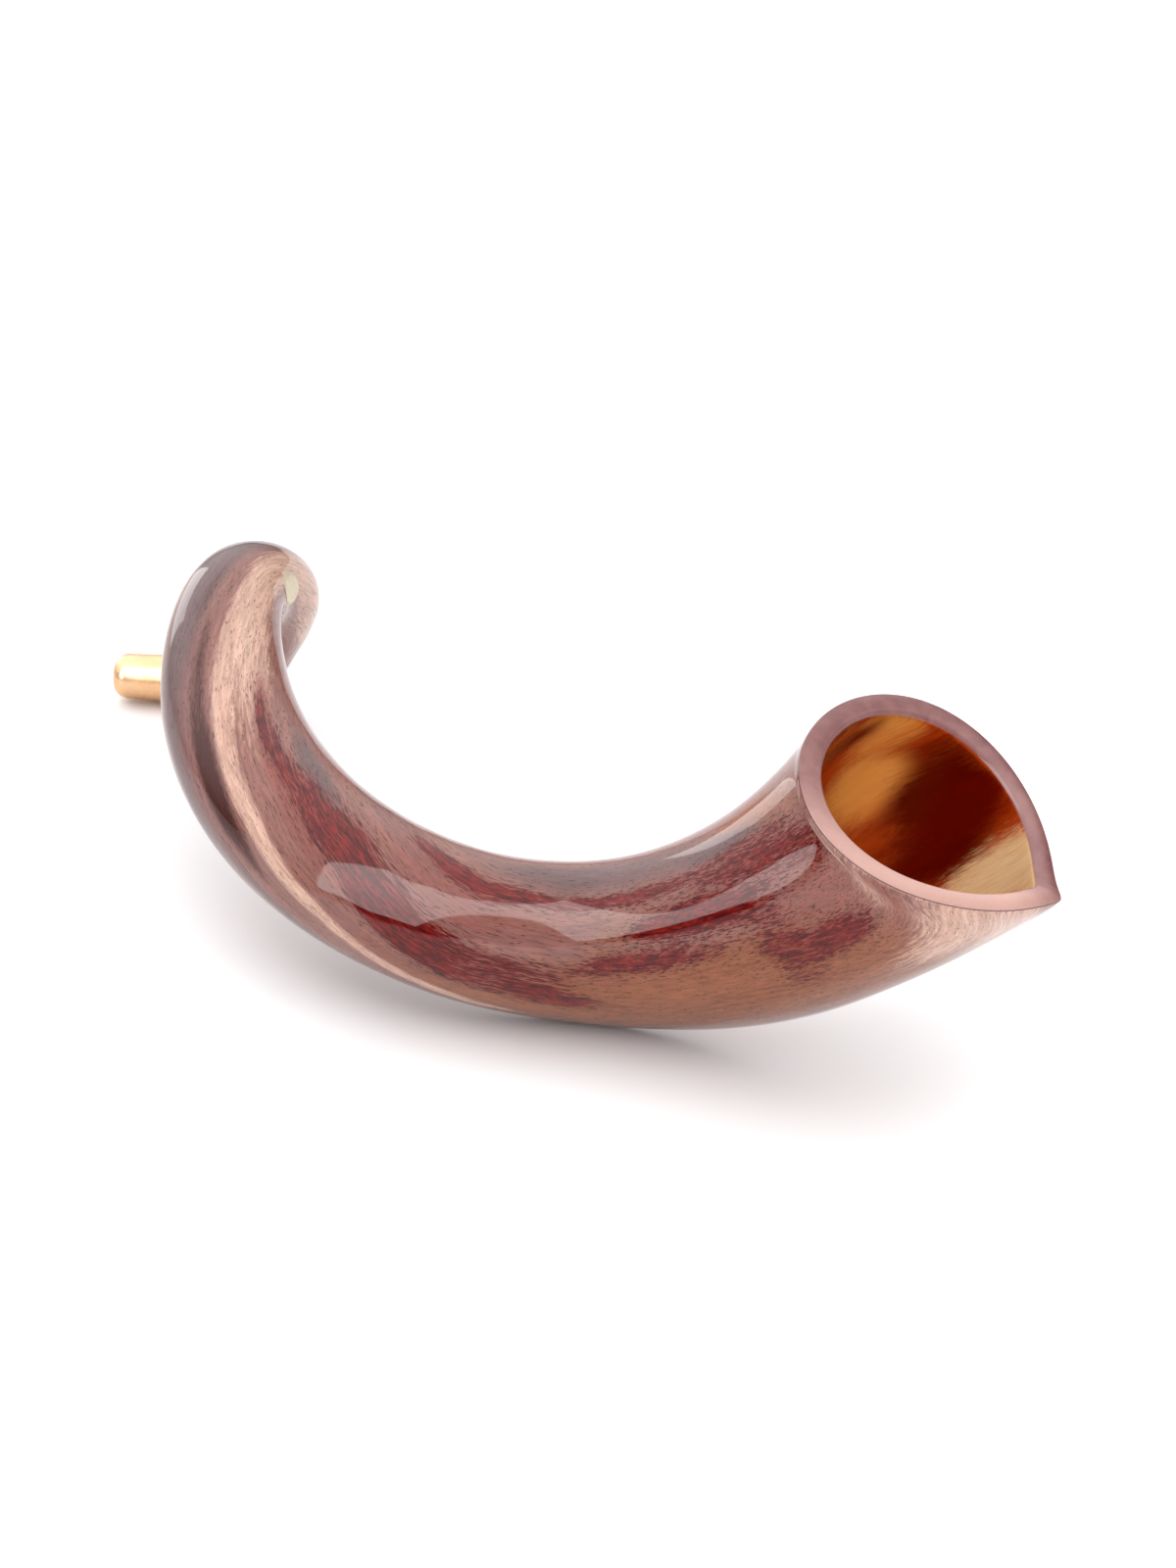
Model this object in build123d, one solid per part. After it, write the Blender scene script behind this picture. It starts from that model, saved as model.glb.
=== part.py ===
"""A natural animal-horn blowing horn: a curled, keeled horn shell with a gold-plated brass ferrule
on its tip, a tapered receiver tube inside the tip, a mouthpiece that pushes into the receiver, and
a small blank foil label. Millimetres and degrees, +Z up, standing as it rests on a table."""
from build123d import *
import math
import os

# ---- driving dimensions --------------------------------------------------------------------
# The horn from its mouth to its ferrule, in even steps along the growth of the horn. Each line:
# centre x, y, z, half depth (towards the keel), half width, roll of the keel from straight up,
# and sharpness of the keel (0 is an ellipse, 1 is a right-angled edge).
STATIONS = [
    (116.5, -103, 107.5, 52, 50, 171, 0.45),
    (103, -98, 87, 51, 46, 178, 0.58),
    (70, -97, 62.5, 44, 38, 178, 0.67),
    (31, -88, 42.5, 38.5, 30.5, 173, 0.67),
    (-12, -76, 33.5, 34, 26, 172, 0.62),
    (-62, -62, 36.5, 31.5, 27.5, 170, 0.5),
    (-112, -21, 47, 30, 28.5, 159, 0.35),
    (-146, 42, 69, 25, 26.5, 169, 0.2),
    (-148, 107, 90, 19, 20, 193, 0.1),
    (-134, 147, 72, 17, 16, 214, 0),
    (-142, 172, 38, 13.5, 13, 235, 0),
    (-161, 189, 11.2, 11, 11, 260, 0),
]
ORIGIN_SHIFT = (24.55, -28.97, 0.13)    # moves the origin to the middle of the box's bottom face
TIP_HEADING = 172                       # direction of the straight tip in the XY plane, degrees
TIP_PACE = 30                           # how far the last station's slope runs per station step

BEAK_OUT = 3                            # how far the mouth's keel corner is drawn out
BEAK_SIDE = -4                          # and how far it is drawn sideways
BEAK_REACH = 0.12                       # share of the horn over which the beak fades out
BEAK_SPREAD = 0.3                       # half angle of the beak round the section, radians

MOUTH_WALL = 9                          # thickness of the horn at its mouth
BODY_WALL = 6.5                         # and from half-way along to the tip
HOLLOW_END = (0.70, 0.92)               # share of the horn where the hollow narrows to the bore
BORE_RADIUS = 3.6                       # drilled bore through the solid tip

SECTION_COUNT = 25                      # sections in the shell's loft
SECTION_POINTS = 48                     # points round each section
CUT_OVERRUN = 2                         # how far a cutting or joining solid runs past a face

FERRULE_LENGTH = 20
FERRULE_REAR_RADIUS = 11.2
FERRULE_FRONT_RADIUS = 10.5
FERRULE_FACE = 1.5                      # thickness of the ferrule's front face
SPIGOT_RADIUS = 8.6                     # turned end of the horn under the ferrule

RECEIVER_LENGTH = 34
RECEIVER_RADIUS = 6.2
TAPER_FRONT_RADIUS = 5.25               # inside of the receiver at its open end
TAPER_REAR_RADIUS = 4.95
SHANK_CLEARANCE = 0.03                  # radial clearance of the mouthpiece's shank
HEAD_GAP = 0.3                          # between the ferrule's face and the mouthpiece's head

HEAD_LENGTH = 29
HEAD_BACK_RADIUS = 10.4
HEAD_RIM_RADIUS = 9.6
RIM_CREST_RADIUS = 6.9
RIM_HEIGHT = 6                          # length of the rounded rim
RIM_ROUND = 2                           # how far the rim's inside and outside round off
CUP_RADIUS = 5.2
CUP_DEPTH = 10
THROAT_RADIUS = 2
THROAT_LENGTH = 3

LABEL_PLACE = (0.752, 245)              # share along the horn, degrees round from the keel
LABEL_LENGTH = 18
LABEL_WIDTH = 14
LABEL_THICKNESS = 0.2
LABEL_SKIN_REACH = 0.06                 # share of the horn each side that the label is cut from
LABEL_SKIN_STEPS = 4
LABEL_COLUMN = (-6, 10)                 # start and length of the oval column that cuts it out


# ---- the horn's shape as functions of the share along it -------------------------------------
def solve_spline(values, end_slope=None):
    """Second differences of a cubic spline through evenly spaced values: free at its first value,
    and at its last value free too, or with the given slope per step."""
    last = len(values) - 1
    below, diagonal, right = [0.0], [1.0], [0.0]
    for i in range(1, last):
        below.append(1.0)
        diagonal.append(4.0)
        right.append(6 * (values[i + 1] - 2 * values[i] + values[i - 1]))
    below.append(0.0 if end_slope is None else 1.0)
    diagonal.append(1.0 if end_slope is None else 2.0)
    right.append(0.0 if end_slope is None else 6 * (end_slope - values[last] + values[last - 1]))
    for i in range(1, last + 1):
        above = 0.0 if i == 1 else 1.0
        factor = below[i] / diagonal[i - 1]
        diagonal[i] -= factor * above
        right[i] -= factor * right[i - 1]
    bends = [0.0] * (last + 1)
    bends[last] = right[last] / diagonal[last]
    for i in range(last - 1, 0, -1):
        bends[i] = (right[i] - bends[i + 1]) / diagonal[i]
    return bends


def read_spline(values, bends, share):
    """The spline's value at a share from 0 to 1 of its steps."""
    place = min(max(share, 0.0), 1.0) * (len(values) - 1)
    i = min(int(place), len(values) - 2)
    u = place - i
    cubes = (bends[i] * (1 - u) ** 3 + bends[i + 1] * u ** 3) / 6
    return cubes + (values[i] - bends[i] / 6) * (1 - u) + (values[i + 1] - bends[i + 1] / 6) * u


TIP_DIRECTION = Vector(math.cos(math.radians(TIP_HEADING)), math.sin(math.radians(TIP_HEADING)), 0)
COLUMNS = [list(column) for column in zip(*STATIONS)]
for axis in range(3):
    COLUMNS[axis] = [value + ORIGIN_SHIFT[axis] for value in COLUMNS[axis]]
END_SLOPES = [TIP_PACE * part for part in tuple(TIP_DIRECTION)] + [None] * 4
BENDS = [solve_spline(column, slope) for column, slope in zip(COLUMNS, END_SLOPES)]


def along_horn(share):
    """Centre, half depth, half width, keel roll and keel sharpness at a share of the horn."""
    x, y, z, depth, width, roll, sharpness = [
        read_spline(column, bends, share) for column, bends in zip(COLUMNS, BENDS)]
    return Vector(x, y, z), depth, width, math.radians(roll), max(sharpness, 0.0)


def heading(share):
    """Unit direction of the centreline, from the mouth towards the tip."""
    step = 0.001
    ahead = along_horn(min(share + step, 1.0))[0]
    behind = along_horn(max(share - step, 0.0))[0]
    return (ahead - behind).normalized()


def wall_thickness(share):
    return MOUTH_WALL - (MOUTH_WALL - BODY_WALL) * min(share / 0.5, 1.0)


def bore_blend(share):
    """0 where the horn is naturally hollow, 1 where it is solid with a drilled bore."""
    start, end = HOLLOW_END
    u = min(max((share - start) / (end - start), 0.0), 1.0)
    return u * u * (3 - 2 * u)


def teardrop(angle, sharpness):
    """Half width of a section at an angle from its keel, for a half width of one."""
    def raw(a):
        return math.sin(a) * abs(math.sin(a / 2)) ** sharpness
    widest = math.acos(-sharpness / (2 + sharpness)) if sharpness > 0 else math.pi / 2
    return raw(angle) / raw(widest)


def section_points(share, hollow=False, swell=0.0):
    """Points of one closed section, which starts and ends on the keel."""
    centre, depth, width, roll, sharpness = along_horn(share)
    forward = heading(share)
    up = (Vector(0, 0, 1) - forward * forward.Z).normalized()
    side = forward.cross(up)
    keel = up * math.cos(roll) + side * math.sin(roll)
    flank = forward.cross(keel)
    beak = max(1 - share / BEAK_REACH, 0.0) ** 2
    if hollow:
        blend = bore_blend(share)
        depth = (depth - wall_thickness(share)) * (1 - blend) + BORE_RADIUS * blend
        width = (width - wall_thickness(share)) * (1 - blend) + BORE_RADIUS * blend
        beak = beak / 2
    points = []
    for i in range(SECTION_POINTS):
        angle = 2 * math.pi * i / SECTION_POINTS
        from_keel = min(angle, 2 * math.pi - angle)
        drawn = beak * math.exp(-(from_keel / BEAK_SPREAD) ** 2)
        out = (depth + swell) * math.cos(angle) + BEAK_OUT * drawn
        across = (width + swell) * teardrop(angle, sharpness) + BEAK_SIDE * drawn
        points.append(centre + keel * out + flank * across)
    return points + points[:1]


def section_face(points):
    return Face(Wire([Spline(*points)]))


def loft_horn(shares, hollow=False, swell=0.0, mouth_overrun=0.0):
    """Smooth loft through sections of the horn, run past the mouth by a straight step."""
    sections = [section_points(share, hollow, swell) for share in shares]
    if mouth_overrun > 0:
        step = heading(shares[0]) * mouth_overrun
        sections.insert(0, [point - step for point in sections[0]])
    return Solid.make_loft([section_face(points).outer_wire() for points in sections])


# ---- the straight tip: everything turned on one axis ------------------------------------------
TIP_START = along_horn(1.0)[0]
TIP_PLANE = Plane(origin=TIP_START, x_dir=(0, 0, 1), z_dir=TIP_DIRECTION)


def turned(*lines):
    """A solid of revolution on the tip's axis, from lines that close one outline."""
    outline = make_face([edge for line in lines for edge in line.edges()])
    return TIP_PLANE.location * revolve(outline, Axis.Z, 360)


def profile_point(radius, height):
    return (radius, 0, height)


def profile_line(*points):
    return Polyline(*[profile_point(*point) for point in points])


def taper_radius(height):
    """Inside radius of the receiver at a height on the tip's axis."""
    rear = FERRULE_LENGTH - RECEIVER_LENGTH
    share = (height - rear) / RECEIVER_LENGTH
    return TAPER_REAR_RADIUS + (TAPER_FRONT_RADIUS - TAPER_REAR_RADIUS) * share


def make_horn_shell():
    shares = [i / (SECTION_COUNT - 1) for i in range(SECTION_COUNT)]
    outside = loft_horn(shares)
    hollow = loft_horn(shares, hollow=True, mouth_overrun=CUT_OVERRUN)
    spigot_end = FERRULE_LENGTH - FERRULE_FACE
    receiver_rear = FERRULE_LENGTH - RECEIVER_LENGTH
    socket_end = spigot_end + CUT_OVERRUN
    spigot = turned(profile_line((0, -CUT_OVERRUN), (SPIGOT_RADIUS, -CUT_OVERRUN),
                                 (SPIGOT_RADIUS, spigot_end), (0, spigot_end),
                                 (0, -CUT_OVERRUN)))
    socket = turned(profile_line((0, receiver_rear), (RECEIVER_RADIUS, receiver_rear),
                                 (RECEIVER_RADIUS, socket_end), (0, socket_end),
                                 (0, receiver_rear)))
    shoulder = turned(profile_line((SPIGOT_RADIUS, 0), (2 * SPIGOT_RADIUS, 0),
                                   (2 * SPIGOT_RADIUS, spigot_end), (SPIGOT_RADIUS, spigot_end),
                                   (SPIGOT_RADIUS, 0)))
    return (outside + spigot - hollow - socket - shoulder).solid()


def make_tip_ferrule():
    inner_end = FERRULE_LENGTH - FERRULE_FACE
    return turned(profile_line((SPIGOT_RADIUS, 0), (FERRULE_REAR_RADIUS, 0),
                               (FERRULE_FRONT_RADIUS, FERRULE_LENGTH),
                               (RECEIVER_RADIUS, FERRULE_LENGTH), (RECEIVER_RADIUS, inner_end),
                               (SPIGOT_RADIUS, inner_end), (SPIGOT_RADIUS, 0)))


def make_receiver_tube():
    rear = FERRULE_LENGTH - RECEIVER_LENGTH
    return turned(profile_line((TAPER_REAR_RADIUS, rear), (RECEIVER_RADIUS, rear),
                               (RECEIVER_RADIUS, FERRULE_LENGTH),
                               (TAPER_FRONT_RADIUS, FERRULE_LENGTH), (TAPER_REAR_RADIUS, rear)))


def make_mouthpiece():
    shank_end = FERRULE_LENGTH - RECEIVER_LENGTH
    head_back = FERRULE_LENGTH + HEAD_GAP
    rim_top = FERRULE_LENGTH + HEAD_LENGTH
    shank_front = taper_radius(head_back) - SHANK_CLEARANCE
    shank_rear = taper_radius(shank_end) - SHANK_CLEARANCE
    throat_top = rim_top - CUP_DEPTH
    throat_bottom = throat_top - THROAT_LENGTH
    body = profile_line((BORE_RADIUS, shank_end), (shank_rear, shank_end),
                        (shank_front, head_back), (HEAD_BACK_RADIUS, head_back),
                        (HEAD_RIM_RADIUS, rim_top - RIM_HEIGHT))
    rim_outside = ThreePointArc(profile_point(HEAD_RIM_RADIUS, rim_top - RIM_HEIGHT),
                                profile_point(HEAD_RIM_RADIUS - 0.8, rim_top - RIM_ROUND),
                                profile_point(RIM_CREST_RADIUS, rim_top))
    rim_inside = ThreePointArc(profile_point(RIM_CREST_RADIUS, rim_top),
                               profile_point(CUP_RADIUS + 0.4, rim_top - 0.7),
                               profile_point(CUP_RADIUS, rim_top - RIM_ROUND))
    cup = ThreePointArc(profile_point(CUP_RADIUS, rim_top - RIM_ROUND),
                        profile_point(CUP_RADIUS - 1.1, rim_top - 6.5),
                        profile_point(THROAT_RADIUS, throat_top))
    throat = profile_line((THROAT_RADIUS, throat_top), (THROAT_RADIUS, throat_bottom),
                          (BORE_RADIUS, shank_end))
    return turned(body, rim_outside, rim_inside, cup, throat)


def make_foil_label(horn_outside):
    """A thin oval of foil that lies on the outside of the horn."""
    share, angle = LABEL_PLACE
    centre = along_horn(share)[0]
    spot = section_points(share)[round(angle / 360 * SECTION_POINTS)]
    outward = (spot - centre).normalized()
    start, length = LABEL_COLUMN
    plane = Plane(origin=spot + outward * start, x_dir=heading(share), z_dir=outward)
    column = extrude(plane * Ellipse(LABEL_LENGTH / 2, LABEL_WIDTH / 2), length)
    steps = range(-LABEL_SKIN_STEPS, LABEL_SKIN_STEPS + 1)
    shares = [share + LABEL_SKIN_REACH * step / LABEL_SKIN_STEPS for step in steps]
    skin = loft_horn(shares, swell=LABEL_THICKNESS)
    return ((column & skin) - horn_outside).solid()


def main():
    os.makedirs("parts", exist_ok=True)
    shares = [i / (SECTION_COUNT - 1) for i in range(SECTION_COUNT)]
    pieces = {
        "horn_shell": make_horn_shell(),
        "tip_ferrule": make_tip_ferrule(),
        "receiver_tube": make_receiver_tube(),
        "mouthpiece": make_mouthpiece(),
        "foil_label": make_foil_label(loft_horn(shares)),
    }
    for name, piece in pieces.items():
        export_step(piece, "parts/" + name + ".step")


main()
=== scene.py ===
import math
import bpy
import numpy as np
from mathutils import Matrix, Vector


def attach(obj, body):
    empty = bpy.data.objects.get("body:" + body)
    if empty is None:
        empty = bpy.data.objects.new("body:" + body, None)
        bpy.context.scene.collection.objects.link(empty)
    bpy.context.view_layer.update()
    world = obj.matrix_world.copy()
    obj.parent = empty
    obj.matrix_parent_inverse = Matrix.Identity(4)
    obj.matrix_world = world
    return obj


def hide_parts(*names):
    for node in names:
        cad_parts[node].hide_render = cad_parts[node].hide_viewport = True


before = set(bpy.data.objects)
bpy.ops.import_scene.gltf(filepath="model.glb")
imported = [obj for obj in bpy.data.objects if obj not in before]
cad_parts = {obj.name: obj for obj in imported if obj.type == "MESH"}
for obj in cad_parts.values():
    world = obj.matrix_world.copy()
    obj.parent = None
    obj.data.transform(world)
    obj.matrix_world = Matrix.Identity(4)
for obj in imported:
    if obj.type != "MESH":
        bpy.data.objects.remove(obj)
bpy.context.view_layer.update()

MM = 0.001

# ---- the horn's shape, with the numbers of the CAD model, in millimetres and degrees ------------
# centre x, y, z, half depth (towards the keel), half width, roll of the keel, sharpness
STATIONS = [
    (116.5, -103, 107.5, 52, 50, 171, 0.45),
    (103, -98, 87, 51, 46, 178, 0.58),
    (70, -97, 62.5, 44, 38, 178, 0.67),
    (31, -88, 42.5, 38.5, 30.5, 173, 0.67),
    (-12, -76, 33.5, 34, 26, 172, 0.62),
    (-62, -62, 36.5, 31.5, 27.5, 170, 0.5),
    (-112, -21, 47, 30, 28.5, 159, 0.35),
    (-146, 42, 69, 25, 26.5, 169, 0.2),
    (-148, 107, 90, 19, 20, 193, 0.1),
    (-134, 147, 72, 17, 16, 214, 0),
    (-142, 172, 38, 13.5, 13, 235, 0),
    (-161, 189, 11.2, 11, 11, 260, 0),
]
ORIGIN_SHIFT = (24.55, -28.97, 0.13)
TIP_HEADING = 172           # way the tip points in plan
TIP_PACE = 30               # how strongly the last bend leads into the tip
BEAK_OUT = 3                # the mouth's drawn-out corner, outwards
BEAK_SIDE = -4              # and sideways
BEAK_REACH = 0.12           # share of the horn over which it fades
BEAK_SPREAD = 0.3           # and its half width round the mouth, radians
MOUTH_WALL = 9
BODY_WALL = 6.5
WALL_SETTLES = 0.5          # share at which the wall reaches the body's thickness
HOLLOW_END = (0.70, 0.92)   # shares between which the hollow narrows to the bore
BORE_RADIUS = 3.6
FERRULE_LENGTH = 20
FERRULE_REAR_RADIUS = 11.2
FERRULE_FRONT_RADIUS = 10.5
FERRULE_REAR_EDGE = 0.5     # roundings of its outer edges
FERRULE_FRONT_EDGE = 0.6
FERRULE_FACE = 1.5
SPIGOT_RADIUS = 8.6
RECEIVER_LENGTH = 34
RECEIVER_RADIUS = 6.2
SOCKET_RINGS = (6, -4)      # extra rings in the receiver's socket, from the horn's end
TAPER_FRONT_RADIUS = 5.25
TAPER_REAR_RADIUS = 4.95
SHANK_CLEARANCE = 0.03
SHANK_EDGE = 0.3            # bevel at the shank's end
HEAD_GAP = 0.3
HEAD_LENGTH = 29
HEAD_BACK_RADIUS = 10.4
HEAD_BACK_EDGE = 0.7        # rounding at the head's back
BACK_EDGE_MIDDLE = 0.2      # how far the middle of that rounding is from the sharp corner
HEAD_RIM_RADIUS = 9.6
RIM_HEIGHT = 6              # length over which the head rounds over to the rim
RIM_SHOULDER = (0.8, 2)     # a point of that curve: inwards from its start and below the top
RIM_CREST_RADIUS = 6.9
RIM_INNER = (0.4, 0.7)      # a point of the rim's inner edge: out from the cup and below the top
CUP_RADIUS = 5.2
CUP_START = 2               # where the cup begins below the rim's top
CUP_WALL = (1.1, 6.5)       # a point of the cup: inwards from its start and below the top
CUP_DEPTH = 10
THROAT_RADIUS = 2
THROAT_LENGTH = 3
LABEL_PLACE = (0.752, 245)  # share and angle of its middle
LABEL_LENGTH = 18
LABEL_WIDTH = 14
LABEL_THICKNESS = 0.2
LABEL_SINK = 0.05           # how far its underside reaches into the horn
# The label's relief: how many round it, place and half width as shares of the radius, height.
LABEL_BEADS = (44, 0.9, 0.05, 0.14)
LABEL_RAYS = (16, 0.5, 0.14, 0.07)
LABEL_BAND = (0.76, 0.03, 0.1)

# ---- how finely the meshes are cut, and small roundings the CAD leaves sharp --------------------
AROUND = 176                # points round the horn
OUTER_RINGS = 300           # rings along the outside
INNER_RINGS = 150           # and along the hollow
INNER_END = 0.945           # share where the hollow's rings end, just behind the receiver
KEEL_CROWDING = 0.45        # how much closer together the points lie at the keel
LIP_OUTER_ROUND = 1.0       # rounding of the mouth's outer edge
LIP_INNER_ROUND = 2.2       # and of its inner edge
LIP_CROWN = 0.5             # how far the lip's middle stands over its edges
LIP_GAP = 0.4               # gap between the lip and the next ring on either side
LIP_CORNER_STEPS = 8        # rings in each rounded edge of the lip
LIP_FACE_STEPS = 14         # and across its face, both ends counted
RIDGE_HEIGHT = 0.5          # the low ridge along the horn's flank
RIDGE_GRAIN = 47            # its place round the horn, in degrees that follow the fibres
RIDGE_SPREAD = 5            # and half width
RIDGE_RISE = (0.42, 0.5)    # shares between which it rises
RIDGE_FALL = (0.62, 0.72)   # and fades
RIPPLE_DEPTH = 0.05         # faint lengthwise ripples
RIPPLE_COUNTS = (11, 19)    # how many of the two kinds go round the horn
RIPPLE_TWISTS = (9, -14)    # how far they turn along it, radians
RIPPLE_OFFSET = 1           # and how far the second kind is turned against the first
RIPPLE_START = (0.02, 0.1)  # shares between which they rise
RIPPLE_END = (0.9, 0.97)    # and fade
TURNED_POINTS = 128         # points round a turned piece
CORNER_STEPS = 6            # steps in the ferrule's rounded edges
EDGE_STEPS = 5              # in the mouthpiece's back edge
BOWL_STEPS = 14             # in its rim's outer curve and in its cup
INNER_STEPS = 8             # and in its rim's inner edge
LABEL_RINGS = 26            # rings of the label
LABEL_POINTS = 144          # and points round it
NEAR_SHARE = 0.001          # step used to find the horn's direction
NEAR_SPOT = (0.002, 0.02)   # steps along and round it used to find the way out of the horn
MARK_EDGE = 1.3             # how abruptly a marking ends

# Degrees by which the fibres have turned round the horn at a share along it.
GRAIN_TURN = [(0, 0), (0.36, 0), (0.42, 9), (0.45, 25), (0.5, 66), (0.55, 98), (0.6, 119),
              (0.65, 136), (0.7, 150), (0.8, 172), (1, 200)]


def solve_spline(values, end_slope=None):
    """Second derivatives, at each value, of a cubic spline through evenly spaced values."""
    count = len(values)
    matrix = np.zeros((count, count))
    right = np.zeros(count)
    matrix[0, 0] = 1
    for i in range(1, count - 1):
        matrix[i, i - 1:i + 2] = (1, 4, 1)
        right[i] = 6 * (values[i + 1] - 2 * values[i] + values[i - 1])
    matrix[-1, -1] = 1
    if end_slope is not None:
        matrix[-1, -2:] = (1, 2)
        right[-1] = 6 * (end_slope - values[-1] + values[-2])
    return np.linalg.solve(matrix, right)


def read_spline(values, bends, share):
    """The spline's values at shares from 0 to 1."""
    place = np.clip(share, 0, 1) * (len(values) - 1)
    i = np.minimum(place.astype(int), len(values) - 2)
    u = place - i
    cubes = (bends[i] * (1 - u) ** 3 + bends[i + 1] * u ** 3) / 6
    return cubes + (values[i] - bends[i] / 6) * (1 - u) + (values[i + 1] - bends[i + 1] / 6) * u


def unit(rows):
    """The same directions with length 1."""
    return rows / np.linalg.norm(rows, axis=-1, keepdims=True)


TIP_DIRECTION = np.array([math.cos(math.radians(TIP_HEADING)),
                          math.sin(math.radians(TIP_HEADING)), 0])
COLUMNS = np.array(STATIONS, float).T
COLUMNS[:3] += np.array(ORIGIN_SHIFT)[:, None]
END_SLOPES = [TIP_PACE * part for part in TIP_DIRECTION] + [None] * 4
BENDS = [solve_spline(column, slope) for column, slope in zip(COLUMNS, END_SLOPES)]


def along_horn(share):
    """Centre, half depth, half width, keel roll and sharpness at each share of the horn."""
    x, y, z, depth, width, roll, sharpness = [
        read_spline(column, bends, share) for column, bends in zip(COLUMNS, BENDS)]
    return np.stack([x, y, z], -1), depth, width, np.radians(roll), np.maximum(sharpness, 0)


def section_axes(share):
    """Keel and flank directions at each share."""
    ahead = along_horn(np.minimum(share + NEAR_SHARE, 1))[0]
    behind = along_horn(np.maximum(share - NEAR_SHARE, 0))[0]
    forward = unit(ahead - behind)
    up = unit(np.array([0, 0, 1.0]) - forward * forward[:, 2:3])
    side = np.cross(forward, up)
    roll = along_horn(share)[3][:, None]
    keel = up * np.cos(roll) + side * np.sin(roll)
    return keel, np.cross(forward, keel)


def wall_thickness(share):
    """The wall's thickness, which thins from the mouth to half-way along."""
    return MOUTH_WALL - (MOUTH_WALL - BODY_WALL) * np.minimum(share / WALL_SETTLES, 1)


def smooth(share, start, end):
    """Rises smoothly from 0 at start to 1 at end."""
    u = np.clip((share - start) / (end - start), 0, 1)
    return u * u * (3 - 2 * u)


def teardrop(angle, sharpness):
    """Sideways reach of the section, 1 at its widest. Sharpness pinches it towards the keel."""
    def raw(a):
        return np.sin(a) * np.abs(np.sin(a / 2)) ** sharpness
    widest = np.arccos(-sharpness / (2 + sharpness))
    return raw(angle) / raw(widest)


def surface(share, angle, hollow=False):
    """Points of the outside or the hollow: one row for each share, one column for each angle."""
    centre, depth, width, _, sharpness = along_horn(share)
    keel, flank = section_axes(share)
    beak = np.maximum(1 - share / BEAK_REACH, 0) ** 2
    if hollow:
        blend = smooth(share, *HOLLOW_END)
        depth = (depth - wall_thickness(share)) * (1 - blend) + BORE_RADIUS * blend
        width = (width - wall_thickness(share)) * (1 - blend) + BORE_RADIUS * blend
        beak = beak / 2
    from_keel = np.minimum(angle, 2 * math.pi - angle)
    drawn = beak[:, None] * np.exp(-(from_keel / BEAK_SPREAD) ** 2)[None]
    out = depth[:, None] * np.cos(angle)[None] + BEAK_OUT * drawn
    across = width[:, None] * teardrop(angle[None], sharpness[:, None]) + BEAK_SIDE * drawn
    return centre[:, None] + keel[:, None] * out[..., None] + flank[:, None] * across[..., None]


def grain_angle(share, angle):
    """Angle in degrees that stays the same along a fibre."""
    return np.degrees(angle) - np.interp(share, *zip(*GRAIN_TURN))


def turn_apart(a, b):
    """Shortest way round from one angle to the other, in degrees."""
    return (a - b + 180) % 360 - 180


def ring_angles():
    """Angles round the horn, closer together at the keel."""
    steps = 2 * math.pi * np.arange(AROUND) / AROUND
    return steps - KEEL_CROWDING * np.sin(steps)


LENGTHS = np.linspace(0, 1, 1001)
PACES = np.linalg.norm(np.diff(along_horn(LENGTHS)[0], axis=0), axis=1)
TRAVELLED = np.concatenate([[0], np.cumsum(PACES)])
MOUTH_PACE = PACES[0] / LENGTHS[1]       # millimetres per share at the mouth


# ---- small mesh tools ---------------------------------------------------------------------------
def mesh_object(name, points, faces):
    """A mesh from points in millimetres."""
    mesh = bpy.data.meshes.new(name)
    mesh.from_pydata((np.asarray(points) * MM).tolist(), [], faces)
    mesh.validate()
    for face in mesh.polygons:
        face.use_smooth = True
    item = bpy.data.objects.new(name, mesh)
    bpy.context.scene.collection.objects.link(item)
    return item


def grid_faces(rows, columns, close_rows):
    """Quads between neighbouring rings, and from the last ring to the first if close_rows."""
    faces = []
    for i in range(rows if close_rows else rows - 1):
        below = (i + 1) % rows * columns
        for j in range(columns):
            k = (j + 1) % columns
            faces.append((i * columns + j, below + j, below + k, i * columns + k))
    return faces


def set_field(item, name, values, kind="FLOAT"):
    """Stores a value at each point for a material to read."""
    field = item.data.attributes.new(name, kind, "POINT")
    target = "value" if kind == "FLOAT" else "vector"
    field.data.foreach_set(target, np.ascontiguousarray(values, np.float32).ravel())


def rounded_profile(corners):
    """A closed profile with each corner rounded. Corners are (radius, height, rounding)."""
    profile = []
    for i, (radius, height, size) in enumerate(corners):
        here = np.array((radius, height), float)
        if size == 0:
            profile.append(here)
            continue
        before = np.array(corners[i - 1][:2], float)
        after = np.array(corners[(i + 1) % len(corners)][:2], float)
        back = (before - here) / np.linalg.norm(before - here)
        ahead = (after - here) / np.linalg.norm(after - here)
        for u in np.linspace(0, 1, CORNER_STEPS + 1):
            profile.append(here + back * size * (1 - u) ** 2 + ahead * size * u ** 2)
    return profile


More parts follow.
